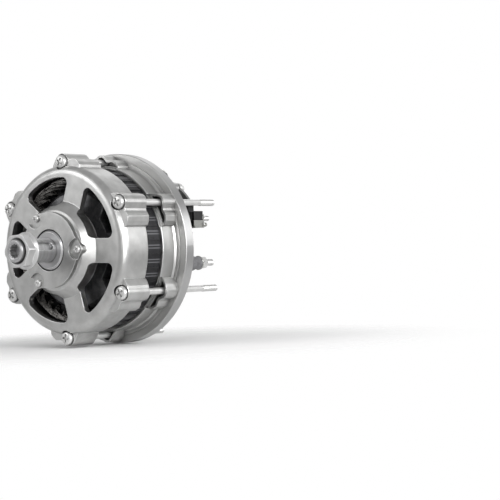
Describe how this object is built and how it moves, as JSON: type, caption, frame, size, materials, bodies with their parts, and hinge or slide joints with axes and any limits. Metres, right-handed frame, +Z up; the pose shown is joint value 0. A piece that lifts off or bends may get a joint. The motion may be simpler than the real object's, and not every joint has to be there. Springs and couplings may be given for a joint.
{
  "type": "engine alternator",
  "caption": "Round alternator with a windowed front housing, bare keyed shaft and nut, mounting ring with long studs and open rear electrics.",
  "frame": {"origin": "centre of the flange ring's rear face, on the shaft's axis", "axes": "-Y towards the drive end of the shaft, +Y towards the studs and rear electrics, +Z up"},
  "size_m": [0.141, 0.1618, 0.141],
  "materials": {
    "cast_aluminium": "satin",
    "core_steel": "satin",
    "copper_winding": "gloss",
    "zinc_steel": "satin",
    "bearing_steel": "polished",
    "pole_steel": "satin",
    "black_plastic": "matte",
    "grey_plastic": "matte",
    "pale_plastic": "matte",
    "slip_copper": "polished",
    "brush_carbon": "matte",
    "spring_steel": "satin",
    "plate_aluminium": "satin",
    "tinned_copper": "satin",
    "wire_sleeve": "satin",
    "black_sleeve": "satin"
  },
  "bodies": {
    "housing": {"front_housing": "cast_aluminium", "rear_housing": "cast_aluminium", "stator_core": "core_steel", "stator_winding": "copper_winding", "through_bolts": "zinc_steel", "short_bolt": "zinc_steel", "bearing_retainer": "zinc_steel", "retainer_screws": "zinc_steel", "front_bearing_outer": "bearing_steel", "rear_bearing_outer": "bearing_steel", "rear_cap": "grey_plastic", "brush_holder": "black_plastic", "regulator_plate": "plate_aluminium", "regulator_body": "plate_aluminium", "regulator_screws": "zinc_steel", "rectifier_body": "black_plastic", "heat_sink_left": "plate_aluminium", "heat_sink_right": "plate_aluminium", "power_diodes": "tinned_copper", "rectifier_screws": "zinc_steel", "phase_lead_left": "tinned_copper", "phase_lead_middle": "tinned_copper", "phase_lead_right": "tinned_copper", "phase_lugs": "tinned_copper", "main_insulator": "black_plastic", "main_stud": "zinc_steel", "main_nut": "zinc_steel", "main_ring_terminal": "zinc_steel", "main_link": "plate_aluminium", "small_insulator": "black_plastic", "small_bracket": "tinned_copper", "small_stud": "zinc_steel", "comb_connector": "tinned_copper", "left_connector": "pale_plastic", "right_block": "black_plastic", "right_stud": "zinc_steel", "right_bracket": "plate_aluminium", "right_screw": "zinc_steel", "right_connector": "pale_plastic", "lead_phase_tap": "wire_sleeve", "lead_loop": "wire_sleeve", "lead_main": "wire_sleeve", "lead_band": "black_sleeve", "spring_front": "spring_steel", "spring_rear": "spring_steel"},
    "rotor": {"shaft": "bearing_steel", "spacer_collar": "bearing_steel", "shaft_nut": "zinc_steel", "front_bearing_inner": "bearing_steel", "rear_bearing_inner": "bearing_steel", "pole_front": "pole_steel", "pole_rear": "pole_steel", "coil_bobbin": "pale_plastic", "field_coil": "copper_winding", "slip_ring_carrier": "black_plastic", "slip_rings": "slip_copper"},
    "front_cage": {"front_bearing_balls": "bearing_steel"},
    "rear_cage": {"rear_bearing_balls": "bearing_steel"},
    "front_brush": {"brush_front": "brush_carbon"},
    "rear_brush": {"brush_rear": "brush_carbon"}
  },
  "joints": [
    {"name": "rotor_spin", "type": "hinge", "parent": "housing", "child": "rotor", "pos_m": [0, 0, 0], "axis": [0, 1, 0], "continuous": true},
    {"name": "front_cage_spin", "type": "hinge", "parent": "housing", "child": "front_cage", "pos_m": [0, 0, 0], "axis": [0, 1, 0], "continuous": true},
    {"name": "rear_cage_spin", "type": "hinge", "parent": "housing", "child": "rear_cage", "pos_m": [0, 0, 0], "axis": [0, 1, 0], "continuous": true},
    {"name": "front_brush_slide", "type": "slide", "parent": "housing", "child": "front_brush", "axis": [0, 0, -1], "range_m": [0, 0.005], "stiffness_N_per_m": 150, "springref_m": -0.02, "deforming": ["spring_front"]},
    {"name": "rear_brush_slide", "type": "slide", "parent": "housing", "child": "rear_brush", "axis": [0, 0, -1], "range_m": [0, 0.005], "stiffness_N_per_m": 150, "springref_m": -0.02, "deforming": ["spring_rear"]}
  ],
  "couplings": [
    {"joint": "front_cage_spin", "follows": "rotor_spin", "ratio": 0.3594},
    {"joint": "rear_cage_spin", "follows": "rotor_spin", "ratio": 0.3659}
  ]
}
